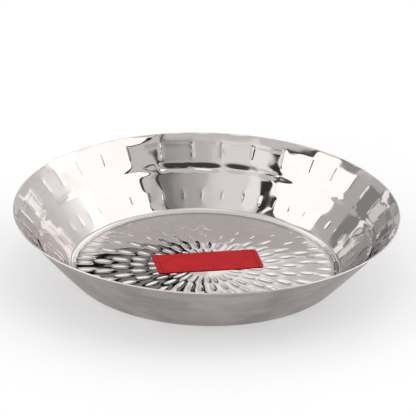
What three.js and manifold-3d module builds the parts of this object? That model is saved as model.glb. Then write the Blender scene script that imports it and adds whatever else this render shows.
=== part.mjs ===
// A round snack plate pressed from one sheet of stainless steel: a flat floor, a straight flared wall and a
// trimmed rim, with rows of short punched marks inside and a blank peel-off label stuck on the floor.
// Millimetres, +Z up. The origin is the middle of the underside, which rests on the table.
import * as THREE from 'three';
import { mergeVertices } from 'three/addons/utils/BufferGeometryUtils.js';
import Module from 'manifold-3d';

const wasm = await Module();
wasm.setup();

// The pressed sheet
const RIM_DIAMETER = 180;
const PLATE_HEIGHT = 30;
const FLOOR_DIAMETER = 122;
const SHEET_THICKNESS = 0.7;
const CORNER_RADIUS = 3;
const FLOOR_STEP_HEIGHT = 0.25;
const FLOOR_STEP_RUN = 0.5;

// The punched marks: spindle-shaped pits in three rows round the wall and in rings on the floor
const MARK_WIDTH = 2.2;
const MARK_DEPTH = 0.3;
const UPPER_MARK_LENGTH = 10;
const UPPER_MARK_COUNT = 38;
const MIDDLE_MARK_LENGTH = 8;
const MIDDLE_MARK_COUNT = 38;
const LOWER_MARK_LENGTH = 7.5;
const LOWER_MARK_COUNT = 52;
const RIM_MARGIN = 3.6;
const MIDDLE_ROW_GAP = 2.6;
const FOOT_MARGIN = 2.8;
const FLOOR_MARK_LENGTH = 7.4;
const FLOOR_OUTER_COUNT = 46;
const FLOOR_INNER_COUNT = 28;
const FLOOR_RING_PITCH = 8.2;
const FLOOR_EDGE_MARGIN = 1.1;
const FLOOR_BARE_RADIUS = 8;

// The label, which lies a little off the middle and turned, as it was stuck on by hand
const LABEL_LENGTH = 50;
const LABEL_WIDTH = 20;
const LABEL_THICKNESS = 0.2;
const LABEL_CORNER_RADIUS = 2;
const LABEL_GLUE_LINE = 0.1;
const LABEL_OFFSET_X = 1.1;
const LABEL_OFFSET_Y = 5.5;
const LABEL_TURN_DEGREES = 11.5;

// Smoothness of the round stretches
const STEPS_ROUND_AXIS = 120;
const HALF_STEPS_PER_ARC = 2;

const HALF_TURN = Math.PI;
const QUARTER_TURN = HALF_TURN / 2;
const FULL_TURN = HALF_TURN * 2;

// Section of the sheet, as radius and height. The wall leaves the corner arc at its tangent and
// ends in a rounded edge whose outermost point is the rim and whose topmost point is the height.
const floorRadius = FLOOR_DIAMETER / 2;
const halfSheet = SHEET_THICKNESS / 2;
const cornerCentre = new THREE.Vector2(
  floorRadius + FLOOR_STEP_RUN,
  FLOOR_STEP_HEIGHT + SHEET_THICKNESS + CORNER_RADIUS,
);
const rimCentre = new THREE.Vector2(RIM_DIAMETER / 2 - halfSheet, PLATE_HEIGHT - halfSheet);
const cornerToRim = rimCentre.clone().sub(cornerCentre);
const wallSlope = cornerToRim.angle() + Math.asin((CORNER_RADIUS + halfSheet) / cornerToRim.length());
const wallUp = new THREE.Vector2(Math.cos(wallSlope), Math.sin(wallSlope));
const wallInward = new THREE.Vector2(-wallUp.y, wallUp.x);
const innerRim = rimCentre.clone().addScaledVector(wallInward, halfSheet);
const innerFoot = cornerCentre.clone().addScaledVector(wallInward, -CORNER_RADIUS);
const wallLength = innerRim.distanceTo(innerFoot);

function sheetSection() {
  const cornerEnd = wallSlope - QUARTER_TURN;
  const section = new THREE.Path();
  section.moveTo(0, 0);
  section.lineTo(floorRadius, 0);
  section.absarc(
    cornerCentre.x, cornerCentre.y, CORNER_RADIUS + SHEET_THICKNESS, -QUARTER_TURN, cornerEnd, false,
  );
  section.absarc(
    rimCentre.x, rimCentre.y, halfSheet, wallSlope - QUARTER_TURN, wallSlope + QUARTER_TURN, false,
  );
  section.absarc(cornerCentre.x, cornerCentre.y, CORNER_RADIUS, cornerEnd, -QUARTER_TURN, true);
  section.lineTo(floorRadius, SHEET_THICKNESS);
  section.lineTo(0, SHEET_THICKNESS);
  return section.getPoints(HALF_STEPS_PER_ARC);
}

// A closed geometry as a solid that can be joined and cut
function solidFrom(geometry) {
  const bare = geometry.clone();
  bare.deleteAttribute('normal');
  bare.deleteAttribute('uv');
  const merged = mergeVertices(bare);
  const corners = merged.index.array;
  const triangles = [];
  for (let i = 0; i < corners.length; i += 3) {
    const [a, b, c] = corners.slice(i, i + 3);
    if (a !== b && b !== c && c !== a) {
      triangles.push(a, b, c);
    }
  }
  return new wasm.Manifold(new wasm.Mesh({
    numProp: 3,
    vertProperties: new Float32Array(merged.attributes.position.array),
    triVerts: new Uint32Array(triangles),
  }));
}

function geometryFrom(solid) {
  const mesh = solid.getMesh();
  const geometry = new THREE.BufferGeometry();
  geometry.setAttribute('position', new THREE.BufferAttribute(mesh.vertProperties, 3));
  geometry.setIndex(new THREE.BufferAttribute(mesh.triVerts, 1));
  geometry.computeVertexNormals();
  return geometry;
}

// One mark: a spindle lying on the surface, so that its lower half cuts the pit
function mark(length, centre, along, outOfMetal) {
  const across = new THREE.Vector3().crossVectors(outOfMetal, along);
  const place = new THREE.Matrix4().makeBasis(along, across, outOfMetal).setPosition(centre);
  const spindle = new THREE.OctahedronGeometry(1).scale(length / 2, MARK_WIDTH / 2, MARK_DEPTH);
  return solidFrom(spindle.applyMatrix4(place));
}

// A direction in the section plane, carried round the axis to the given angle
function turned(direction, angle) {
  return new THREE.Vector3(direction.x * Math.cos(angle), direction.x * Math.sin(angle), direction.y);
}

// A row of marks on the wall, running up it or round it, shifted by a share of the space between them
function wallRow(count, length, fromRim, runsRound, shift) {
  const middle = innerRim.clone().addScaledVector(wallUp, -fromRim);
  const marks = [];
  for (let i = 0; i < count; i += 1) {
    const angle = (i + shift) * FULL_TURN / count;
    const round = new THREE.Vector3(-Math.sin(angle), Math.cos(angle), 0);
    const along = runsRound ? round : turned(wallUp, angle);
    marks.push(mark(length, turned(middle, angle), along, turned(wallInward, angle)));
  }
  return marks;
}

function wallMarks() {
  const upperRow = RIM_MARGIN + UPPER_MARK_LENGTH / 2;
  const middleRow = RIM_MARGIN + UPPER_MARK_LENGTH + MIDDLE_ROW_GAP;
  const lowerRow = wallLength - FOOT_MARGIN - LOWER_MARK_LENGTH / 2;
  return [
    ...wallRow(UPPER_MARK_COUNT, UPPER_MARK_LENGTH, upperRow, false, 0),
    ...wallRow(MIDDLE_MARK_COUNT, MIDDLE_MARK_LENGTH, middleRow, true, 1 / 2),
    ...wallRow(LOWER_MARK_COUNT, LOWER_MARK_LENGTH, lowerRow, false, 0),
  ];
}

// Rings of radial marks, from the edge of the floor to its bare middle. The outermost ring has more marks
// than the others, and each ring is shifted by half a space against the one outside it.
function floorMarks() {
  const up = new THREE.Vector3(0, 0, 1);
  const outermost = floorRadius - FLOOR_EDGE_MARGIN - FLOOR_MARK_LENGTH / 2;
  const innermost = FLOOR_BARE_RADIUS + FLOOR_MARK_LENGTH / 2;
  const marks = [];
  let ring = 0;
  for (let radius = outermost; radius > innermost; radius -= FLOOR_RING_PITCH) {
    const count = ring === 0 ? FLOOR_OUTER_COUNT : FLOOR_INNER_COUNT;
    for (let i = 0; i < count; i += 1) {
      const angle = (i + ring / 2) * FULL_TURN / count;
      const along = new THREE.Vector3(Math.cos(angle), Math.sin(angle), 0);
      const centre = along.clone().multiplyScalar(radius).setZ(SHEET_THICKNESS);
      marks.push(mark(FLOOR_MARK_LENGTH, centre, along, up));
    }
    ring += 1;
  }
  return marks;
}

function plateBody() {
  const sheet = new THREE.LatheGeometry(sheetSection(), STEPS_ROUND_AXIS).rotateX(QUARTER_TURN);
  const pits = wasm.Manifold.union([...wallMarks(), ...floorMarks()]);
  const steel = new THREE.MeshStandardMaterial({ color: 0xb8b2ae, roughness: 0.15, metalness: 1 });
  const body = new THREE.Mesh(geometryFrom(solidFrom(sheet).subtract(pits)), steel);
  body.name = 'plate_body';
  return body;
}

function peelOffLabel() {
  const right = LABEL_LENGTH / 2 - LABEL_CORNER_RADIUS;
  const top = LABEL_WIDTH / 2 - LABEL_CORNER_RADIUS;
  const outline = new THREE.Shape();
  outline.absarc(right, top, LABEL_CORNER_RADIUS, 0, QUARTER_TURN, false);
  outline.absarc(-right, top, LABEL_CORNER_RADIUS, QUARTER_TURN, HALF_TURN, false);
  outline.absarc(-right, -top, LABEL_CORNER_RADIUS, HALF_TURN, HALF_TURN + QUARTER_TURN, false);
  outline.absarc(right, -top, LABEL_CORNER_RADIUS, HALF_TURN + QUARTER_TURN, FULL_TURN, false);
  outline.closePath();
  const film = new THREE.ExtrudeGeometry(outline, {
    depth: LABEL_THICKNESS,
    bevelEnabled: false,
    curveSegments: HALF_STEPS_PER_ARC * 2,
  });
  const red = new THREE.MeshStandardMaterial({ color: 0xc8202a, roughness: 0.4, metalness: 0 });
  const label = new THREE.Mesh(film, red);
  label.name = 'peel_off_label';
  label.position.set(LABEL_OFFSET_X, LABEL_OFFSET_Y, SHEET_THICKNESS + LABEL_GLUE_LINE);
  label.rotation.z = THREE.MathUtils.degToRad(LABEL_TURN_DEGREES);
  return label;
}

const snackPlate = new THREE.Group();
snackPlate.add(plateBody(), peelOffLabel());

export default snackPlate;
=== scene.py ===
# A pressed stainless-steel snack plate with punched marks inside and a blank red label on its floor,
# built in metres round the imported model, with +Z up and the camera on the -Y side.
import math

import bpy
from mathutils import Matrix, Vector


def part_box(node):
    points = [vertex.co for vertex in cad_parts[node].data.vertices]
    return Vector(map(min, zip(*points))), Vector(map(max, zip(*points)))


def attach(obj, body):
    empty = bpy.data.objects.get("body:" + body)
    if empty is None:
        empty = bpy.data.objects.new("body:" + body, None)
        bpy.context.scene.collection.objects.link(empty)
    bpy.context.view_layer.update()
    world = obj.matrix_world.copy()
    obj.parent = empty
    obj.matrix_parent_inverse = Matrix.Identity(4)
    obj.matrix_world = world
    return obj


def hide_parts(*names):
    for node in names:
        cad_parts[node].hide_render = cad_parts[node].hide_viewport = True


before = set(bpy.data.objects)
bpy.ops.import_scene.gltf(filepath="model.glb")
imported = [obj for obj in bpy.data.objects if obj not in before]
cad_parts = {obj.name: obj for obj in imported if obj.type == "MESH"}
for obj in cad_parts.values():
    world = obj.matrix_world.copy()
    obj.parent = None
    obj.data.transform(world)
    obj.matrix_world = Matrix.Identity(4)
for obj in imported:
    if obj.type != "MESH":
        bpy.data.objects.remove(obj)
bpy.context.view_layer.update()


# The plate body is one disc of stainless sheet, pressed in a die to a flat floor and a flared wall.
# Its rim is trimmed and rounded, the inside is polished and the outside left satin. Rows of short
# spindle-shaped marks are struck into the inside by hand, so they are spaced a little unevenly.
MM = 0.001
plate_low, plate_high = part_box("plate_body")
RIM_RADIUS = (plate_high.x - plate_low.x) / 2
PLATE_HEIGHT = plate_high.z
FLOOR_RADIUS = 61 * MM
SHEET = 0.7 * MM
CORNER_RADIUS = 3 * MM
STEP_HEIGHT = 0.25 * MM
STEP_RUN = 0.5 * MM
WALL_BOW = 0.3 * MM
LIP_FLARE = 0.75 * MM
LIP_WIDTH = 5.4 * MM
LIP_SHARPNESS = 6
UNDERSIDE_INSET = 0.02 * FLOOR_RADIUS
OUTER_EDGE_SHARE = 0.015
STEPS_ROUND_AXIS = 800
UNDERSIDE_STEPS, OUTER_WALL_STEPS, FLOOR_STEPS = 3, 7, 40
STEP_STEPS, OUTER_CORNER_STEPS, INNER_CORNER_STEPS, EDGE_STEPS = 2, 5, 6, 5
# How far down the inside of the wall each stretch reaches, and the steps in it: fine where it is struck
INNER_WALL_STRETCHES = (
    (3.6 * MM, 3), (7.6 * MM, 8), (14.6 * MM, 7), (20.6 * MM, 17), (25.6 * MM, 4), (35.0 * MM, 12),
)
OUTSIDE, EDGE, INSIDE = 0.0, 1.0, 2.0

corner = Vector((FLOOR_RADIUS + STEP_RUN, STEP_HEIGHT + SHEET + CORNER_RADIUS))
rim = Vector((RIM_RADIUS - SHEET / 2, PLATE_HEIGHT - SHEET / 2))
corner_to_rim = rim - corner
wall_slope = math.atan2(corner_to_rim.y, corner_to_rim.x)
wall_slope += math.asin((CORNER_RADIUS + SHEET / 2) / corner_to_rim.length)
wall_up = Vector((math.cos(wall_slope), math.sin(wall_slope)))
wall_inward = Vector((-wall_up.y, wall_up.x))
inner_rim = rim + wall_inward * SHEET / 2
inner_foot = corner - wall_inward * CORNER_RADIUS
wall_length = (inner_rim - inner_foot).length


def straight(start, end, steps):
    """Points from start up to, and without, end."""
    return [start.lerp(end, i / steps) for i in range(steps)]


def arc(centre, radius, first, last, steps):
    """Points round part of a circle, without the last one."""
    turns = [first + (last - first) * i / steps for i in range(steps)]
    return [centre + radius * Vector((math.cos(t), math.sin(t))) for t in turns]


def wall(rim_end, foot_end, stops):
    """Points down one face of the wall, which bows out a little and flares to a lip at the rim."""
    points = []
    for share in stops:
        down_lip = share * wall_length / LIP_WIDTH
        eased = down_lip / (1 + down_lip ** LIP_SHARPNESS) ** (1 / LIP_SHARPNESS)
        lip = LIP_FLARE * (1 - share) * eased
        bow = WALL_BOW * 4 * share * (1 - share)
        points.append(rim_end.lerp(foot_end, share) + wall_inward * (lip - bow))
    return points


def inner_wall_stops():
    """The shares of the way down the inside of the wall at which the section has a point."""
    stops = []
    last_stop = 0.0
    for stop, steps in INNER_WALL_STRETCHES:
        stops += [(last_stop + (stop - last_stop) * i / steps) / wall_length for i in range(steps)]
        last_stop = stop
    return stops + [last_stop / wall_length]


def sheet_section():
    """The sheet's section as (point, finish) pairs, from under the middle round the rim to the floor."""
    down = -math.pi / 2
    foot = wall_slope - math.pi / 2
    top = wall_slope + math.pi / 2
    outer_foot = corner - wall_inward * (CORNER_RADIUS + SHEET)
    outer_rim = rim - wall_inward * SHEET / 2
    outer_stops = [i / OUTER_WALL_STEPS for i in range(1, OUTER_WALL_STEPS)]
    underside_rim = Vector((FLOOR_RADIUS - UNDERSIDE_INSET, 0))
    underside_end = Vector((FLOOR_RADIUS, 0))
    floor_end = Vector((FLOOR_RADIUS, SHEET))
    middle = Vector((0, SHEET))
    outside = straight(Vector((0, 0)), underside_rim, UNDERSIDE_STEPS)
    outside += straight(underside_rim, underside_end, 1)
    outside += straight(underside_end, Vector((corner.x, STEP_HEIGHT)), STEP_STEPS)
    outside += arc(corner, CORNER_RADIUS + SHEET, down, foot, OUTER_CORNER_STEPS)
    outside += [outer_foot] + wall(outer_rim, outer_foot, outer_stops)[::-1]
    outside += wall(outer_rim, outer_foot, [OUTER_EDGE_SHARE])
    edge = arc(rim, SHEET / 2, foot, top, EDGE_STEPS)
    inside = wall(inner_rim, inner_foot, inner_wall_stops())
    inside += arc(corner, CORNER_RADIUS, foot, down, INNER_CORNER_STEPS)
    inside += straight(Vector((corner.x, STEP_HEIGHT + SHEET)), floor_end, STEP_STEPS)
    inside += straight(floor_end, middle, FLOOR_STEPS) + [middle]
    zones = ((outside, OUTSIDE), (edge, EDGE), (inside, INSIDE))
    return [(point, finish) for points, finish in zones for point in points]


def node(tree, kind, inputs=None, **settings):
    """A node with its settings, and its inputs by name or number set to a value or fed from a socket."""
    made = tree.nodes.new(kind)
    for name, value in settings.items():
        setattr(made, name, value)
    for key, value in (inputs or {}).items():
        if isinstance(value, bpy.types.NodeSocket):
            tree.links.new(value, made.inputs[key])
        else:
            made.inputs[key].default_value = value
    return made


def maths(tree, operation, *values):
    """The result of one arithmetic step on numbers or sockets."""
    return node(tree, "ShaderNodeMath", dict(enumerate(values)), operation=operation).outputs[0]


def squared(tree, value):
    """A number or socket times itself."""
    return maths(tree, "POWER", value, 2.0)


def negative(tree, value):
    """A number or socket with its sign changed."""
    return maths(tree, "MULTIPLY", value, -1.0)


def vector(tree, **axes):
    """A vector from numbers or sockets given as X, Y and Z."""
    return node(tree, "ShaderNodeCombineXYZ", axes).outputs[0]


def parts(tree, value):
    """The X, Y and Z sockets of a vector."""
    return node(tree, "ShaderNodeSeparateXYZ", {0: value}).outputs


def vector_maths(tree, operation, first, second=None):
    """The result of one step on vectors. The second value of SCALE is a number."""
    inputs = {0: first}
    if second is not None:
        inputs["Scale" if operation == "SCALE" else 1] = second
    made = node(tree, "ShaderNodeVectorMath", inputs, operation=operation)
    return made.outputs["Value" if operation in ("LENGTH", "DOT_PRODUCT") else "Vector"]


def position(tree):
    """The place of each point of the geometry."""
    return node(tree, "GeometryNodeInputPosition").outputs[0]


def shape_tree(name, inputs):
    """A new geometry tree with named inputs, and its input sockets."""
    tree = bpy.data.node_groups.new(name, "GeometryNodeTree")
    for label, kind in inputs:
        tree.interface.new_socket(label, in_out="INPUT", socket_type="NodeSocket" + kind)
    tree.interface.new_socket("Geometry", in_out="OUTPUT", socket_type="NodeSocketGeometry")
    return tree, tree.nodes.new("NodeGroupInput").outputs


def end_tree(tree, result):
    """Puts out a socket as the only result of a tree."""
    node(tree, "NodeGroupOutput", {0: result})


POINTS_IN_LINE = 13
LINE_BOW_POWER = 2.5


def ring_of_marks():
    """A group that lays one ring of struck lines: each is bowed, so its ends rise clear of the metal."""
    tree, given = shape_tree("ring_of_marks", (
        ("Count", "Int"), ("Radius", "Float"), ("Height", "Float"), ("Slope", "Float"),
        ("Length", "Float"), ("Runs Round", "Float"), ("Start", "Float"), ("Crowding", "Float"),
        ("Uneven", "Float"), ("Rise", "Float"), ("Lift", "Float"), ("Skew", "Float"), ("Seed", "Int"),
    ))

    def chance(low, high, offset):
        """A number drawn for each mark between two values, from the ring's seed and an offset of its own."""
        seed = maths(tree, "ADD", given["Seed"], offset)
        made = node(tree, "FunctionNodeRandomValue", {"Seed": seed}, data_type="FLOAT")
        for key, value in (("Min", low), ("Max", high)):
            socket = next(s for s in made.inputs if s.name == key and s.type == "VALUE" and s.enabled)
            if isinstance(value, bpy.types.NodeSocket):
                tree.links.new(value, socket)
            else:
                socket.default_value = value
        return next(s for s in made.outputs if s.type == "VALUE" and s.enabled)

    def spread(size, offset):
        """A number drawn for each mark, up to a size either way."""
        return chance(negative(tree, size), size, offset)

    half = maths(tree, "MULTIPLY", given["Length"], 0.5)
    line = node(tree, "GeometryNodeMeshLine", {
        "Count": POINTS_IN_LINE,
        "Start Location": vector(tree, X=negative(tree, half)),
        "Offset": vector(tree, X=half),
    }, mode="END_POINTS")
    share = maths(tree, "ABSOLUTE", maths(tree, "DIVIDE", parts(tree, position(tree))["X"], half))
    bow = maths(tree, "MULTIPLY", maths(tree, "POWER", share, LINE_BOW_POWER), given["Rise"])
    bowed = node(tree, "GeometryNodeSetPosition", {
        "Geometry": line.outputs[0], "Offset": vector(tree, Z=bow),
    })
    quarter = maths(tree, "MULTIPLY", given["Runs Round"], math.pi / 2)
    stroke = node(tree, "GeometryNodeTransform", {
        "Geometry": bowed.outputs[0], "Rotation": vector(tree, Z=quarter),
    })
    index = node(tree, "GeometryNodeInputIndex").outputs[0]
    step = maths(tree, "DIVIDE", 2 * math.pi, given["Count"])
    place = maths(tree, "ADD", index, spread(given["Uneven"], 0.0))
    even = maths(tree, "ADD", given["Start"], maths(tree, "MULTIPLY", place, step))
    twice_round = maths(tree, "SINE", maths(tree, "MULTIPLY", even, 2.0))
    angle = maths(tree, "SUBTRACT", even, maths(tree, "MULTIPLY", given["Crowding"], twice_round))
    points = node(tree, "GeometryNodePoints", {
        "Count": given["Count"],
        "Position": vector(
            tree,
            X=maths(tree, "MULTIPLY", given["Radius"], maths(tree, "COSINE", angle)),
            Y=maths(tree, "MULTIPLY", given["Radius"], maths(tree, "SINE", angle)),
            Z=given["Height"],
        ),
    })
    at = parts(tree, position(tree))
    heading = maths(tree, "ARCTAN2", at["Y"], at["X"])
    facing = node(tree, "FunctionNodeEulerToRotation", {
        0: vector(tree, Y=negative(tree, given["Slope"]), Z=heading),
    })
    strokes = node(tree, "GeometryNodeInstanceOnPoints", {
        "Points": points.outputs[0], "Instance": stroke.outputs[0], "Rotation": facing.outputs[0],
    })
    skew = node(tree, "FunctionNodeEulerToRotation", {0: vector(tree, Z=spread(given["Skew"], 1.0))})
    skewed = node(tree, "GeometryNodeRotateInstances", {
        "Instances": strokes.outputs[0], "Rotation": skew.outputs[0],
    })
    lifted = node(tree, "GeometryNodeTranslateInstances", {
        "Instances": skewed.outputs[0],
        "Translation": vector(tree, Z=chance(0.0, given["Lift"], 2.0)),
    })
    end_tree(tree, node(tree, "GeometryNodeRealizeInstances", {0: lifted.outputs[0]}).outputs[0])
    return tree


def strike():
    """A group for the depth struck at a distance from a line: a blunt groove in a wide flattened hollow."""
    tree = bpy.data.node_groups.new("strike", "GeometryNodeTree")
    for label in ("Distance", "Depth", "Width", "Blunting", "Hollow", "Reach", "Flare"):
        tree.interface.new_socket(label, in_out="INPUT", socket_type="NodeSocketFloat")
    tree.interface.new_socket("Depth", in_out="OUTPUT", socket_type="NodeSocketFloat")
    given = tree.nodes.new("NodeGroupInput").outputs
    blunt = maths(tree, "ADD", squared(tree, given["Distance"]), squared(tree, given["Blunting"]))
    away = maths(tree, "SUBTRACT", maths(tree, "SQRT", blunt), given["Blunting"])
    fall = maths(tree, "EXPONENT", negative(tree, maths(tree, "DIVIDE", away, given["Width"])))
    groove_depth = maths(tree, "MULTIPLY", fall, given["Depth"])
    left = maths(tree, "SUBTRACT", 1.0, maths(tree, "DIVIDE", given["Distance"], given["Reach"]))
    hollow = maths(tree, "POWER", maths(tree, "MAXIMUM", left, 0.0), given["Flare"])
    end_tree(tree, maths(tree, "MULTIPLY_ADD", hollow, given["Hollow"], groove_depth))
    return tree


RING_OF_MARKS = ring_of_marks()
STRIKE = strike()
PUNCH = {"Depth": 0.13 * MM, "Width": 0.5 * MM, "Blunting": 0.2 * MM, "Flare": 2.0}
HAND_SPACING = {"Uneven": 0.12, "Rise": 2.2 * MM, "Lift": 0.3 * MM, "Skew": math.radians(5)}
WALL_CROWDING = math.radians(3.7)
UPPER_ROW = {
    "ring": {"Count": 38, "Length": 12 * MM, "Seed": 0},
    "from_rim": 8.6 * MM, "shift": 0.06,
    "strike": {**PUNCH, "Hollow": 0.15 * MM, "Reach": 6.9 * MM},
}
LEDGE_ROW = {
    "ring": {
        "Count": 38, "Length": 13 * MM, "Runs Round": 1.0, "Rise": 0.5 * MM, "Lift": 1.6 * MM, "Seed": 967,
    },
    "from_rim": 5.6 * MM, "shift": 0.56,
    "strike": {**PUNCH, "Depth": 0.08 * MM, "Hollow": 0.02 * MM, "Reach": 2 * MM},
}
MIDDLE_ROW = {
    "ring": {
        "Count": 38, "Length": 15 * MM, "Runs Round": 1.0, "Rise": 1.5 * MM, "Lift": 1.8 * MM, "Seed": 196,
    },
    "from_rim": 17.8 * MM, "shift": 0.56,
    "strike": {**PUNCH, "Depth": 0.03 * MM, "Hollow": 0.45 * MM, "Reach": 3.7 * MM},
}
LOWER_ROW = {
    "ring": {"Count": 52, "Length": 9 * MM, "Seed": 3},
    "from_rim": wall_length - 6.6 * MM, "shift": 0.25,
    "strike": {**PUNCH, "Depth": 0.08 * MM, "Hollow": 0.07 * MM, "Reach": 4.1 * MM},
}
WALL_ROWS = (UPPER_ROW, LEDGE_ROW, MIDDLE_ROW, LOWER_ROW)
FLOOR_MARK_LENGTH = 7.4 * MM
FLOOR_LINE_LENGTH = 9.6 * MM
FLOOR_OUTER_COUNT, FLOOR_INNER_COUNT = 46, 28
FLOOR_RING_PITCH = 8.2 * MM
FLOOR_EDGE_MARGIN = 1.1 * MM
FLOOR_RING_SHIFT = 0.69
FLOOR_FIRST_SEED = 10
FLOOR_BARE_RADIUS = 8 * MM
FLOOR_FULL_RADIUS = 34 * MM
FLOOR_SMALLEST_MARK = 0.1
FLOOR_STRIKE = {
    "Depth": 0.08 * MM, "Width": 0.62 * MM, "Blunting": 0.3 * MM,
    "Hollow": 0.07 * MM, "Reach": 2.6 * MM, "Flare": 1.0,
}
GROOVE_REACH = 1.5 * MM
GROOVE_FADE = 4.0
FLOOR_CALM = 0.3
SEAM_GAP = 0.001 * MM


def nearest_line(tree, lines):
    """The nearest point on any of the lines, and the distance to it."""
    joined = node(tree, "GeometryNodeJoinGeometry")
    for line in lines:
        tree.links.new(line, joined.inputs[0])
    return node(tree, "GeometryNodeProximity", {0: joined.outputs[0]}, target_element="EDGES").outputs


def struck_depth(tree, lines, how, size=1.0):
    """How deep the nearest of the lines strikes the sheet at each point, for marks of a relative size."""
    distance = maths(tree, "DIVIDE", nearest_line(tree, lines)["Distance"], size)
    depth = node(tree, "GeometryNodeGroup", {"Distance": distance, **how}, node_tree=STRIKE).outputs[0]
    return maths(tree, "MULTIPLY", depth, size)


def wall_marks(tree):
    """The lines of the rows round the wall: upright, a faint ledge, lying and upright again."""
    rows = []
    for row in WALL_ROWS:
        middle = inner_rim - wall_up * row["from_rim"]
        ring = {**HAND_SPACING, **row["ring"], "Radius": middle.x, "Height": middle.y, "Slope": wall_slope}
        ring |= {"Start": row["shift"] * 2 * math.pi / ring["Count"], "Crowding": WALL_CROWDING}
        rows.append(node(tree, "GeometryNodeGroup", ring, node_tree=RING_OF_MARKS).outputs[0])
    return rows


def floor_marks(tree):
    """Rings of radial lines on the floor, each ring shifted by part of a space against its neighbour."""
    rings = []
    radius = FLOOR_RADIUS - FLOOR_EDGE_MARGIN - FLOOR_MARK_LENGTH / 2
    while radius > FLOOR_BARE_RADIUS + FLOOR_MARK_LENGTH / 2:
        count = FLOOR_INNER_COUNT if rings else FLOOR_OUTER_COUNT
        ring = {
            **HAND_SPACING, "Count": count, "Length": FLOOR_LINE_LENGTH, "Radius": radius, "Height": SHEET,
            "Start": len(rings) * FLOOR_RING_SHIFT * 2 * math.pi / count,
            "Seed": FLOOR_FIRST_SEED + len(rings),
        }
        rings.append(node(tree, "GeometryNodeGroup", ring, node_tree=RING_OF_MARKS).outputs[0])
        radius -= FLOOR_RING_PITCH
    return rings


def named(tree, name):
    """A number that is stored on the points under a name."""
    read = node(tree, "GeometryNodeInputNamedAttribute", {"Name": name}, data_type="FLOAT")
    return read.outputs["Attribute"]


def stored(tree, geometry, name, value):
    """The geometry with a number stored on its points under a name."""
    return node(tree, "GeometryNodeStoreNamedAttribute", {
        "Geometry": geometry, "Name": name, "Value": value,
    }, data_type="FLOAT", domain="POINT").outputs[0]


def measured(tree, geometry, lines, across):
    """Stores how far each point lies beside the nearest line, and how far the line is clear of it."""
    near = nearest_line(tree, lines)
    apart = vector_maths(tree, "SUBTRACT", position(tree), near["Position"])
    side = vector_maths(tree, "DOT_PRODUCT", apart, across)
    clear_squared = maths(tree, "SUBTRACT", squared(tree, near["Distance"]), squared(tree, side))
    clear = maths(tree, "SQRT", maths(tree, "MAXIMUM", clear_squared, 0.0))
    past = maths(tree, "MAXIMUM", maths(tree, "SUBTRACT", near["Distance"], GROOVE_REACH), 0.0)
    geometry = stored(tree, geometry, "mark_side", side)
    return stored(tree, geometry, "mark_clear", maths(tree, "MULTIPLY_ADD", past, GROOVE_FADE, clear))


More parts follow.
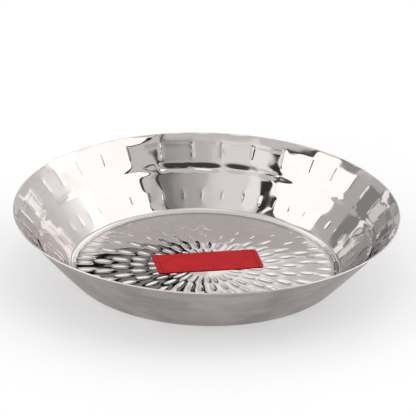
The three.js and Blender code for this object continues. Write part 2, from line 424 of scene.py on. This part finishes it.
def pressed_plate():
    """Spins the section round the axis, strikes the marks into the inside and gives each side its finish."""
    tree, given = shape_tree("pressed_plate", (
        ("Section", "Geometry"), ("Steps Round", "Int"),
        ("Wave Height", "Float"), ("Waves per Metre", "Float"),
        ("Outside", "Material"), ("Edge", "Material"), ("Inside", "Material"),
    ))
    size = node(tree, "GeometryNodeAttributeDomainSize", {0: given["Section"]}, component="MESH")
    rows = size.outputs["Point Count"]
    grid = node(tree, "GeometryNodeMeshGrid", {
        "Vertices X": maths(tree, "ADD", given["Steps Round"], 1.0),
        "Vertices Y": rows,
    })
    index = node(tree, "GeometryNodeInputIndex").outputs[0]
    column = maths(tree, "FLOOR", maths(tree, "DIVIDE", index, rows))
    row = maths(tree, "SUBTRACT", index, maths(tree, "MULTIPLY", column, rows))
    drawn = node(tree, "GeometryNodeSampleIndex", {
        "Geometry": given["Section"], "Index": row, "Value": position(tree),
    }, data_type="FLOAT_VECTOR", domain="POINT").outputs[0]
    turn = maths(tree, "DIVIDE", maths(tree, "MULTIPLY", column, 2 * math.pi), given["Steps Round"])
    spun = node(tree, "ShaderNodeVectorRotate", {"Vector": drawn, "Angle": turn}, rotation_type="Z_AXIS")
    finish = node(tree, "GeometryNodeSampleIndex", {
        "Geometry": given["Section"], "Index": row, "Value": named(tree, "finish"),
    }, data_type="FLOAT", domain="POINT").outputs[0]
    marked = stored(tree, grid.outputs[0], "finish", finish)
    turned = node(tree, "GeometryNodeSetPosition", {"Geometry": marked, "Position": spun.outputs[0]})
    closed = node(tree, "GeometryNodeMergeByDistance", {
        "Geometry": turned.outputs[0], "Distance": SEAM_GAP,
    })
    inside = maths(tree, "GREATER_THAN", named(tree, "finish"), (EDGE + INSIDE) / 2)
    edge = maths(tree, "GREATER_THAN", named(tree, "finish"), (OUTSIDE + EDGE) / 2)

    upper, ledge, middle, lower = wall_marks(tree)
    rings = floor_marks(tree)
    at = parts(tree, position(tree))
    out = maths(tree, "SQRT", maths(tree, "ADD", squared(tree, at["X"]), squared(tree, at["Y"])))
    narrowing = node(tree, "ShaderNodeMapRange", {
        "Value": out, "From Max": FLOOR_FULL_RADIUS, "To Min": FLOOR_SMALLEST_MARK,
    }).outputs[0]
    depth = struck_depth(tree, rings, FLOOR_STRIKE, narrowing)
    for lines, wall_row in zip((upper, ledge, middle, lower), WALL_ROWS):
        depth = maths(tree, "ADD", depth, struck_depth(tree, [lines], wall_row["strike"]))
    heading = maths(tree, "ARCTAN2", at["Y"], at["X"])
    sine, cosine = maths(tree, "SINE", heading), maths(tree, "COSINE", heading)
    round_axis = vector(tree, X=negative(tree, sine), Y=cosine)
    shape = measured(tree, closed.outputs[0], [upper, lower, *rings], round_axis)

    noise = node(tree, "ShaderNodeTexNoise", {"Scale": given["Waves per Metre"], "Detail": 1.0})
    swing = maths(tree, "SUBTRACT", noise.outputs[0], 0.5)
    calm = node(tree, "ShaderNodeMapRange", {
        "Value": at["Z"], "From Min": SHEET, "From Max": CORNER_RADIUS, "To Min": FLOOR_CALM,
    }).outputs[0]
    wave = maths(tree, "MULTIPLY", maths(tree, "MULTIPLY", swing, given["Wave Height"]), calm)
    normal = node(tree, "GeometryNodeInputNormal").outputs[0]
    struck = node(tree, "GeometryNodeSetPosition", {
        "Geometry": shape, "Selection": inside,
        "Offset": vector_maths(tree, "SCALE", normal, maths(tree, "SUBTRACT", wave, depth)),
    })
    smooth = node(tree, "GeometryNodeSetShadeSmooth", {0: struck.outputs[0]})
    shape = node(tree, "GeometryNodeRealizeInstances", {0: smooth.outputs[0]}).outputs[0]
    for selection, finish_name in ((True, "Outside"), (edge, "Edge"), (inside, "Inside")):
        shape = node(tree, "GeometryNodeSetMaterial", {
            "Geometry": shape, "Selection": selection, "Material": given[finish_name],
        }).outputs[0]
    end_tree(tree, shape)
    return tree


def effect(name, inputs, output):
    """A new shader group that puts out one value from named inputs, with its input sockets."""
    tree = bpy.data.node_groups.new(name, "ShaderNodeTree")
    for label in inputs:
        tree.interface.new_socket(label, in_out="INPUT", socket_type="NodeSocketFloat")
    tree.interface.new_socket(output, in_out="OUTPUT", socket_type="NodeSocketFloat")
    return tree, tree.nodes.new("NodeGroupInput").outputs


def object_place(tree):
    """The place of each shaded point, in metres from the object's origin."""
    return node(tree, "ShaderNodeTexCoord").outputs["Object"]


def turned_lines():
    """Faint rings left by polishing the turning plate, which come and go on the way round."""
    tree, given = effect("turned_lines", ("Lines per Metre", "Breaks"), "Lines")
    at = parts(tree, object_place(tree))
    flat = vector(tree, X=at["X"], Y=at["Y"])
    out = vector_maths(tree, "LENGTH", flat)
    broken = vector_maths(tree, "SCALE", vector_maths(tree, "NORMALIZE", flat), given["Breaks"])
    across = maths(tree, "MULTIPLY", maths(tree, "ADD", out, at["Z"]), given["Lines per Metre"])
    lines = node(tree, "ShaderNodeTexNoise", {
        "Vector": vector_maths(tree, "ADD", broken, vector(tree, Z=across)),
        "Scale": 1.0, "Detail": 3.0, "Roughness": 0.6,
    })
    end_tree(tree, lines.outputs[0])
    return tree


def handling_haze():
    """Soft cloudy smears, as fingers and a drying cloth leave them."""
    tree, given = effect("handling_haze", ("Smears per Metre", "Contrast"), "Haze")
    clouds = node(tree, "ShaderNodeTexNoise", {
        "Vector": object_place(tree), "Scale": given["Smears per Metre"], "Detail": 4.0, "Distortion": 0.6,
    }).outputs[0]
    swing = maths(tree, "MULTIPLY", maths(tree, "SUBTRACT", clouds, 0.5), given["Contrast"])
    end_tree(tree, node(tree, "ShaderNodeClamp", {0: maths(tree, "ADD", swing, 0.5)}).outputs[0])
    return tree


def painted_corner_shade_ring():
    """1 on a thin ring at a distance from the axis, where painted shade darkens the corner between floor and
    wall.
    """
    tree, given = effect("painted_corner_shade_ring", ("Radius", "Width"), "Ring")
    at = parts(tree, object_place(tree))
    out = vector_maths(tree, "LENGTH", vector(tree, X=at["X"], Y=at["Y"]))
    off = maths(tree, "DIVIDE", maths(tree, "SUBTRACT", out, given["Radius"]), given["Width"])
    end_tree(tree, maths(tree, "EXPONENT", negative(tree, squared(tree, off))))
    return tree


TURNED_LINES = turned_lines()
PAINTED_CORNER_SHADE_RING = painted_corner_shade_ring()
HANDLING_HAZE = handling_haze()
# Sockets of the mix node that carry colours, which share their names with those that carry numbers
COLOUR_A, COLOUR_B, COLOUR_RESULT = 6, 7, 2
LINE_BREAKS = 2.5
UNEVENNESS = 1.2
PLATE_SMEARS = {"Smears per Metre": 45.0, "Contrast": 2.0}
GROOVE_WIDTH = 0.5 * MM
GROOVE_DEPTH = 0.07 * MM
# A thin ring of darker steel at the foot of the wall: painted shade in the corner between floor and wall.
PAINTED_CORNER_SHADE = {"Radius": FLOOR_RADIUS - 1.2 * MM, "Width": 1.3 * MM}
PAINTED_CORNER_SHADE_STEEL = (0.36, 0.33, 0.32)


def finish_shader(name):
    """A new material with its node tree and its shader."""
    made = bpy.data.materials.new(name)
    made.use_nodes = True
    return made, made.node_tree, made.node_tree.nodes["Principled BSDF"]


def between(tree, factor, low, high):
    """A number or a colour that goes from low to high with a factor from 0 to 1."""
    if isinstance(high, tuple):
        first = (*low, 1) if isinstance(low, tuple) else low
        ends = {"Factor": factor, COLOUR_A: first, COLOUR_B: (*high, 1)}
        return node(tree, "ShaderNodeMix", ends, data_type="RGBA").outputs[COLOUR_RESULT]
    ends = {"Factor": factor, "A": low, "B": high}
    return node(tree, "ShaderNodeMix", ends, data_type="FLOAT").outputs[0]


def groove(tree):
    """1 on a struck line and 0 away from it, by the place that the plate stores against its lines."""
    side = node(tree, "ShaderNodeAttribute", attribute_name="mark_side").outputs["Fac"]
    clear = node(tree, "ShaderNodeAttribute", attribute_name="mark_clear").outputs["Fac"]
    distance_squared = maths(tree, "ADD", squared(tree, side), squared(tree, clear))
    return maths(tree, "EXPONENT", maths(tree, "DIVIDE", distance_squared, -GROOVE_WIDTH * GROOVE_WIDTH))


def steel(name, colours, roughness, lines_per_metre, line_depth, struck=False):
    """Stainless steel whose turned lines and smears change its colour, gloss and surface a little."""
    made, tree, shader = finish_shader(name)
    lines = node(tree, "ShaderNodeGroup", {
        "Lines per Metre": lines_per_metre, "Breaks": LINE_BREAKS,
    }, node_tree=TURNED_LINES).outputs[0]
    haze = node(tree, "ShaderNodeGroup", PLATE_SMEARS, node_tree=HANDLING_HAZE).outputs[0]
    both = maths(tree, "SUBTRACT", maths(tree, "ADD", lines, haze), 1.0)
    swing = maths(tree, "MULTIPLY", both, UNEVENNESS)
    uneven = node(tree, "ShaderNodeClamp", {0: maths(tree, "ADD", swing, 0.5)}).outputs[0]
    colour = between(tree, uneven, *colours)
    height = maths(tree, "MULTIPLY", lines, line_depth)
    if struck:
        height = maths(tree, "MULTIPLY_ADD", groove(tree), -GROOVE_DEPTH, height)
        # Painted shade: the colour darkens on a thin ring where the floor meets the wall.
        ring = node(tree, "ShaderNodeGroup", PAINTED_CORNER_SHADE, node_tree=PAINTED_CORNER_SHADE_RING).outputs[0]
        colour = between(tree, ring, colour, PAINTED_CORNER_SHADE_STEEL)
    bump = node(tree, "ShaderNodeBump", {"Height": height, "Strength": 1.0, "Distance": 1.0})
    tree.links.new(colour, shader.inputs["Base Color"])
    tree.links.new(between(tree, uneven, *roughness), shader.inputs["Roughness"])
    tree.links.new(bump.outputs[0], shader.inputs["Normal"])
    shader.inputs["Metallic"].default_value = 1.0
    return made


POLISHED = steel(
    "polished_steel", ((0.56, 0.524, 0.512), (0.59, 0.555, 0.543)), (0.015, 0.05),
    lines_per_metre=900.0, line_depth=0.0004 * MM, struck=True,
)
SATIN = steel(
    "satin_steel", ((0.31, 0.279, 0.27), (0.51, 0.471, 0.459)), (0.4, 0.56),
    lines_per_metre=420.0, line_depth=0.016 * MM,
)
BRIGHT_EDGE = steel(
    "bright_trimmed_edge", ((0.62, 0.58, 0.567), (0.7, 0.665, 0.652)), (0.1, 0.24),
    lines_per_metre=1500.0, line_depth=0.002 * MM,
)


def shaped(name, mesh, tree, values):
    """An object whose mesh is the result of a tree with the given inputs, run on the given mesh."""
    made = bpy.data.objects.new(name, mesh)
    bpy.context.scene.collection.objects.link(made)
    modifier = made.modifiers.new(tree.name, "NODES")
    modifier.node_group = tree
    for item in tree.interface.items_tree:
        if item.in_out == "INPUT" and item.name in values:
            modifier[item.identifier] = values[item.name]
    graph = bpy.context.evaluated_depsgraph_get()
    result = bpy.data.meshes.new_from_object(
        made.evaluated_get(graph), preserve_all_data_layers=True, depsgraph=graph,
    )
    made.modifiers.clear()
    made.data = result
    return made


section = sheet_section()
section_mesh = bpy.data.meshes.new("plate_section")
section_mesh.from_pydata(
    [(point.x, 0, point.y) for point, _ in section],
    [(i, i + 1) for i in range(len(section) - 1)], [],
)
finish_layer = section_mesh.attributes.new("finish", "FLOAT", "POINT")
finish_layer.data.foreach_set("value", [finish for _, finish in section])
plate = shaped("pressed_plate", section_mesh, pressed_plate(), {
    "Steps Round": STEPS_ROUND_AXIS,
    "Wave Height": 0.13 * MM, "Waves per Metre": 75.0,
    "Outside": SATIN, "Edge": BRIGHT_EDGE, "Inside": POLISHED,
})
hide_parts("plate_body")
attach(plate, "root")


# The label is a blank red film with rounded corners, stuck on the floor by hand a little off the middle.
# It is printed plain with a thin line at each short end, and it sinks a little over the marks beneath.
label_low, label_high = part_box("peel_off_label")
LABEL_LENGTH = 50 * MM
LABEL_WIDTH = 20 * MM
LABEL_CORNER = 2 * MM
LABEL_TURN = math.radians(11.5)
LABEL_THICKNESS = label_high.z - label_low.z
LABEL_CELLS = (100, 40)
LABEL_SAG = {"Depth": 0.05 * MM, "Width": 1.4 * MM, "Blunting": 1.0 * MM, "Hollow": 0.0, "Reach": 4 * MM}
LABEL_REDS = ((0.36, 0.004, 0.008), (0.56, 0.011, 0.017))
LABEL_LINE_RED = (0.27, 0.003, 0.006)
LABEL_LINE_PLACE, LABEL_LINE_HALF_WIDTH = 0.455, 0.006
LABEL_ROUGHNESS = (0.36, 0.5)
LABEL_SMEARS = {"Smears per Metre": 160.0, "Contrast": 2.0}
LABEL_RIPPLE = 0.01 * MM
LABEL_GLOSS = 0.06


def rounded_corner(along, across):
    """Moves a point of the corner square of a sheet into the quarter disc that rounds the corner."""
    past = abs(along) - (LABEL_LENGTH / 2 - LABEL_CORNER)
    beyond = abs(across) - (LABEL_WIDTH / 2 - LABEL_CORNER)
    if past > 0 and beyond > 0:
        p, q = past / LABEL_CORNER, beyond / LABEL_CORNER
        along -= math.copysign(past - past * math.sqrt(1 - q * q / 2), along)
        across -= math.copysign(beyond - beyond * math.sqrt(1 - p * p / 2), across)
    return along, across


def label_sheet():
    """The film's lower face as a grid of cells, in its place on the floor, with its length along U."""
    columns, rows = LABEL_CELLS
    middle = (label_low + label_high) / 2
    shares = [(i / columns, j / rows) for j in range(rows + 1) for i in range(columns + 1)]
    turn = Matrix.Rotation(LABEL_TURN, 2)
    points = []
    for u, v in shares:
        flat = turn @ Vector(rounded_corner((u - 0.5) * LABEL_LENGTH, (v - 0.5) * LABEL_WIDTH))
        points.append((middle.x + flat.x, middle.y + flat.y, label_low.z))
    step = columns + 1
    faces = [
        (i + j * step, i + 1 + j * step, i + 1 + (j + 1) * step, i + (j + 1) * step)
        for j in range(rows) for i in range(columns)
    ]
    mesh = bpy.data.meshes.new("label_sheet")
    mesh.from_pydata(points, [], faces)
    layout = mesh.uv_layers.new(name="film")
    for loop in mesh.loops:
        layout.data[loop.index].uv = shares[loop.vertex_index]
    return mesh


def laid_label():
    """Lets the film sink over the floor's marks, gives it its thickness and closes it underneath."""
    tree, given = shape_tree("laid_label", (
        ("Sheet", "Geometry"), ("Thickness", "Float"), ("Film", "Material"),
    ))
    sag = negative(tree, struck_depth(tree, floor_marks(tree), LABEL_SAG))
    sunk = node(tree, "GeometryNodeSetPosition", {
        "Geometry": given["Sheet"], "Offset": vector(tree, Z=sag),
    }).outputs[0]
    raised = node(tree, "GeometryNodeExtrudeMesh", {
        "Mesh": sunk, "Offset": vector(tree, Z=1.0),
        "Offset Scale": given["Thickness"], "Individual": False,
    }, mode="FACES")
    under = node(tree, "GeometryNodeFlipFaces", {0: sunk}).outputs[0]
    both = node(tree, "GeometryNodeJoinGeometry")
    for half in (under, raised.outputs[0]):
        tree.links.new(half, both.inputs[0])
    closed = node(tree, "GeometryNodeMergeByDistance", {
        "Geometry": both.outputs[0], "Distance": SEAM_GAP,
    })
    smooth = node(tree, "GeometryNodeSetShadeSmooth", {0: closed.outputs[0]})
    solid = node(tree, "GeometryNodeRealizeInstances", {0: smooth.outputs[0]})
    end_tree(tree, node(tree, "GeometryNodeSetMaterial", {
        "Geometry": solid.outputs[0], "Material": given["Film"],
    }).outputs[0])
    return tree


def printed_film():
    """Red printed film with a satin face, a thin darker line near each short end and a soft mottle."""
    made, tree, shader = finish_shader("printed_red_film")
    along = parts(tree, node(tree, "ShaderNodeUVMap", uv_map="film").outputs[0])["X"]
    from_middle = maths(tree, "ABSOLUTE", maths(tree, "SUBTRACT", along, 0.5))
    line = maths(tree, "COMPARE", from_middle, LABEL_LINE_PLACE, LABEL_LINE_HALF_WIDTH)
    haze = node(tree, "ShaderNodeGroup", LABEL_SMEARS, node_tree=HANDLING_HAZE).outputs[0]
    red = between(tree, haze, *LABEL_REDS)
    tree.links.new(between(tree, line, red, LABEL_LINE_RED), shader.inputs["Base Color"])
    tree.links.new(between(tree, haze, *LABEL_ROUGHNESS), shader.inputs["Roughness"])
    bump = node(tree, "ShaderNodeBump", {"Height": haze, "Strength": 1.0, "Distance": LABEL_RIPPLE})
    tree.links.new(bump.outputs[0], shader.inputs["Normal"])
    shader.inputs["Specular IOR Level"].default_value = LABEL_GLOSS
    return made


label = shaped("peel_off_label_film", label_sheet(), laid_label(), {
    "Thickness": LABEL_THICKNESS, "Film": printed_film(),
})
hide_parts("peel_off_label")
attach(label, "root")


# The plate stands on a pale matt table, which shows white to the camera and in the polished steel.
# It is not part of the plate, and it keeps the plate's soft shadow.
TABLE_REACH = 8.0
TABLE_DROP = 0.05 * MM
TABLE_WHITENESS = 0.45
TABLE_PALE = (0.95, 0.95, 0.95, 1)
TABLE_ROUGHNESS = 0.7
table_mesh = bpy.data.meshes.new("table_top")
table_mesh.from_pydata(
    [(x * TABLE_REACH, y * TABLE_REACH, -TABLE_DROP) for x, y in ((-1, -1), (1, -1), (1, 1), (-1, 1))],
    [], [(0, 1, 2, 3)],
)
table_top = bpy.data.objects.new("table_top", table_mesh)
bpy.context.scene.collection.objects.link(table_top)
pale, table_nodes, table_paint = finish_shader("pale_table")
table_paint.inputs["Base Color"].default_value = TABLE_PALE
table_paint.inputs["Roughness"].default_value = TABLE_ROUGHNESS
ray = node(table_nodes, "ShaderNodeLightPath").outputs
seen = maths(table_nodes, "MAXIMUM", ray["Is Camera Ray"], ray["Is Glossy Ray"])
seen = maths(table_nodes, "MAXIMUM", seen, ray["Is Transmission Ray"])
white = node(table_nodes, "ShaderNodeEmission", {"Color": (1, 1, 1, 1), "Strength": 1.0})
table_mix = node(table_nodes, "ShaderNodeMixShader", {
    0: maths(table_nodes, "MULTIPLY", seen, TABLE_WHITENESS),
    1: table_paint.outputs[0],
    2: white.outputs[0],
})
table_nodes.links.new(table_mix.outputs[0], table_nodes.nodes["Material Output"].inputs["Surface"])
table_mesh.materials.append(pale)


# The plate and the table stand in a grey light tent with a bright, dark-framed window at each side.
# Its roof is bright too, and its front has a dark opening for the camera.
TENT_GREY = 0.88
# A patch has a side (1 right, -1 left, 0 both), four angles from the side towards the back, four angles up
# from the table, and its brightness. Of each four angles, it starts at the first, is full from the second
# to the third and ends at the fourth. A later patch covers an earlier one.
TENT_PATCHES = (
    # The upper back and the roof
    (0, (0, 20, 180, 180), (42, 60, 180, 180), 1.08),
    (0, (-181, -180, 0, 20), (76, 83, 180, 180), 1.75),
    # Panels low at the back, which the floor mirrors
    (1, (45, 70, 180, 180), (-10, 0, 28, 34), 0.82),
    (-1, (20, 21, 180, 180), (-10, 0, 30, 36), 0.7),
    (-1, (70, 80, 180, 180), (10, 12, 21, 24), 0.4),
    (1, (88.4, 89.9, 180, 180), (18, 20, 30, 34), 1.35),
    (1, (62, 72, 180, 180), (14, 16, 19.5, 22.5), 0.35),
    (1, (55, 70, 180, 180), (26, 34, 44, 50), 1.75),
    (1, (66, 70, 79, 81), (20, 23, 34, 40), 1.75),
    (-1, (55, 70, 180, 180), (22, 26, 44, 50), 0.9),
    (-1, (55, 70, 180, 180), (33, 36, 44, 50), 1.75),
    # Panels low at the front and the sides
    (-1, (-110, -90, -20, 0), (-10, 0, 24, 30), 1.6),
    (1, (-181, -180, -60, -40), (-10, 0, 24, 30), 0.1),
    (-1, (-40, -30, 15, 19), (-10, 0, 18, 22), 2.2),
    (1, (-60, -40, 0, 10), (-10, 0, 14, 22), 0.25),
    # The opening for the camera, and the front above it
    (0, (-100, -95, -58, -45), (28, 34, 48, 55), 0.08),
    (-1, (-100, -70, -36, -32), (52, 57, 64, 70), 1.15),
    (1, (-100, -70, -36, -34), (52, 57, 64, 70), 0.64),
    (1, (-68, -46, -44, -43), (50, 55, 64, 70), 0.3),
    # The right window with the bars of its frame
    (1, (-44, -43, -41, -40), (40, 45, 66, 72), 0.1),
    (1, (-28.5, -28, -26, -25.5), (10, 20, 68, 74), 0.03),
    (1, (-26, -25, 8, 50), (0, 28, 66, 70), 1.8),
    # The left window with the bars of its frame
    (-1, (-52, -46, -39, -38), (40, 46, 58, 62), 1.35),
    (-1, (-28.6, -28.2, -27.4, -26.8), (10, 20, 58, 62), 0.06),
    (-1, (-38, -37.6, -27.4, -26.8), (46, 48, 54, 55.5), 0.05),
    (-1, (-27.2, -26.6, -25, -24), (22, 24, 54, 56), 1.7),
    (-1, (-25, -24, 0, 14), (50, 52, 54, 57), 0.12),
    (-1, (-25, -24, 19, 20), (22, 24, 51, 52), 1.8),
    # Panels past the windows, which the two ends of the wall mirror
    (-1, (31, 34, 60, 66), (-10, 0, 21, 25), 0.36),
    (-1, (46.5, 47.5, 51, 52), (6, 8, 12, 13), 0.95),
    (-1, (44.5, 45.5, 52, 53), (13, 14, 21, 25), 1.35),
    (-1, (54, 55, 60, 62), (6, 8, 14, 16), 0.6),
    (1, (50, 52, 58, 60), (0, 3, 12, 14), 1.5),
    (1, (8, 26, 34, 40), (29, 37, 42, 48), 2.4),
    (-1, (16, 22, 30, 34), (36, 39, 46, 50), 0.45),
)
world = bpy.data.worlds.new("light_tent")
bpy.context.scene.world = world
world.use_nodes = True
tent = world.node_tree
towards = parts(tent, node(tent, "ShaderNodeTexCoord").outputs["Generated"])
to_back = maths(tent, "ARCTAN2", towards["Y"], maths(tent, "ABSOLUTE", towards["X"]))
upwards = maths(tent, "ARCSINE", towards["Z"])


def ramp(value, first, last):
    """Rises smoothly from 0 to 1 as an angle goes from first to last, in degrees."""
    return node(tent, "ShaderNodeMapRange", {
        "Value": value, "From Min": math.radians(first), "From Max": math.radians(last),
    }, interpolation_type="SMOOTHSTEP").outputs[0]


def within(value, start, full, full_to, end):
    """1 between the two middle angles, 0 outside the outer ones."""
    return maths(tent, "SUBTRACT", ramp(value, start, full), ramp(value, full_to, end))


brightness = TENT_GREY
for side, across, up, radiance in TENT_PATCHES:
    share = maths(tent, "MULTIPLY", within(to_back, *across), within(upwards, *up))
    if side:
        on_side = maths(tent, "GREATER_THAN", maths(tent, "MULTIPLY", towards["X"], side), 0.0)
        share = maths(tent, "MULTIPLY", share, on_side)
    brightness = between(tent, share, brightness, radiance)
tent.links.new(brightness, tent.nodes["Background"].inputs["Strength"])
tent.nodes["Background"].inputs["Color"].default_value = (1, 1, 1, 1)


# A black card stands behind the plate on the left, so that the polished floor shows dark strokes there.
# It is black below a slanting line and grey above it, with a nearly black bar at its right end.
# It shows only in reflections.
CARD_LEFT, CARD_RIGHT, CARD_BEHIND = -115 * MM, -12 * MM, 600 * MM
CARD_FOOT, CARD_TOP_LEFT, CARD_TOP_RIGHT = 246 * MM, 280 * MM, 352 * MM
CARD_BLACK_TO, CARD_BLACK_SLOPE, CARD_BAR, CARD_FADE = 236 * MM, 0.8, -24 * MM, 4 * MM
CARD_BLACK, CARD_GREY, CARD_BAR_SHADE = 0.01, 0.33, 0.03
card_outline = (
    (CARD_LEFT, CARD_FOOT), (CARD_RIGHT, CARD_FOOT),
    (CARD_RIGHT, CARD_TOP_RIGHT), (CARD_LEFT, CARD_TOP_LEFT),
)
card_mesh = bpy.data.meshes.new("black_card")
card_mesh.from_pydata([(x, CARD_BEHIND, z) for x, z in card_outline], [], [(0, 1, 2, 3)])
black_card = bpy.data.objects.new("black_card", card_mesh)
bpy.context.scene.collection.objects.link(black_card)
black, card_nodes, card_paint = finish_shader("black_card")
card_place = parts(card_nodes, object_place(card_nodes))
card_shade = node(card_nodes, "ShaderNodeMapRange", {
    "Value": maths(card_nodes, "MULTIPLY_ADD", card_place["X"], CARD_BLACK_SLOPE, card_place["Z"]),
    "From Min": CARD_BLACK_TO, "From Max": CARD_BLACK_TO + CARD_FADE,
    "To Min": CARD_BLACK, "To Max": CARD_GREY,
}).outputs[0]
card_bar = node(card_nodes, "ShaderNodeMapRange", {
    "Value": card_place["X"], "From Min": CARD_BAR - CARD_FADE, "From Max": CARD_BAR,
    "To Min": 1.0, "To Max": CARD_BAR_SHADE,
}).outputs[0]
card_nodes.links.new(maths(card_nodes, "MULTIPLY", card_shade, card_bar), card_paint.inputs["Base Color"])
card_paint.inputs["Specular IOR Level"].default_value = 0.0
card_mesh.materials.append(black)
black_card.visible_camera = False
black_card.visible_diffuse = False
black_card.visible_shadow = False


# The camera stands on the -Y side and looks down at the middle of the rim, a long way off.
# Its angle, distance and framing fit the outlines of the rim, the floor and the foot.
PHOTO_SIDE = 416
CAMERA_ELEVATION = math.radians(24.51)
CAMERA_DISTANCE = 2.061
CAMERA_ROLL = math.radians(1.56)
CAMERA_REACH = 50
FOCAL_PIXELS = 4435.9
RIM_CENTRE_PIXEL = (206.73, 209.53)
SENSOR_WIDTH = 36.0
camera_data = bpy.data.cameras.new("photo_camera")
camera_data.sensor_width = SENSOR_WIDTH
camera_data.lens = FOCAL_PIXELS / PHOTO_SIDE * SENSOR_WIDTH
camera_data.shift_x = (PHOTO_SIDE / 2 - RIM_CENTRE_PIXEL[0]) / PHOTO_SIDE
camera_data.shift_y = (RIM_CENTRE_PIXEL[1] - PHOTO_SIDE / 2) / PHOTO_SIDE
camera_data.clip_end = CAMERA_REACH
camera = bpy.data.objects.new("photo_camera", camera_data)
bpy.context.scene.collection.objects.link(camera)
back = Vector((0, -math.cos(CAMERA_ELEVATION), math.sin(CAMERA_ELEVATION)))
aim = back.to_track_quat("Z", "Y").to_matrix().to_4x4()
camera.matrix_world = (
    Matrix.Translation(Vector((0, 0, PLATE_HEIGHT)) + back * CAMERA_DISTANCE)
    @ aim @ Matrix.Rotation(CAMERA_ROLL, 4, "Z")
)
bpy.context.scene.camera = camera
bpy.context.scene.view_settings.view_transform = "Standard"
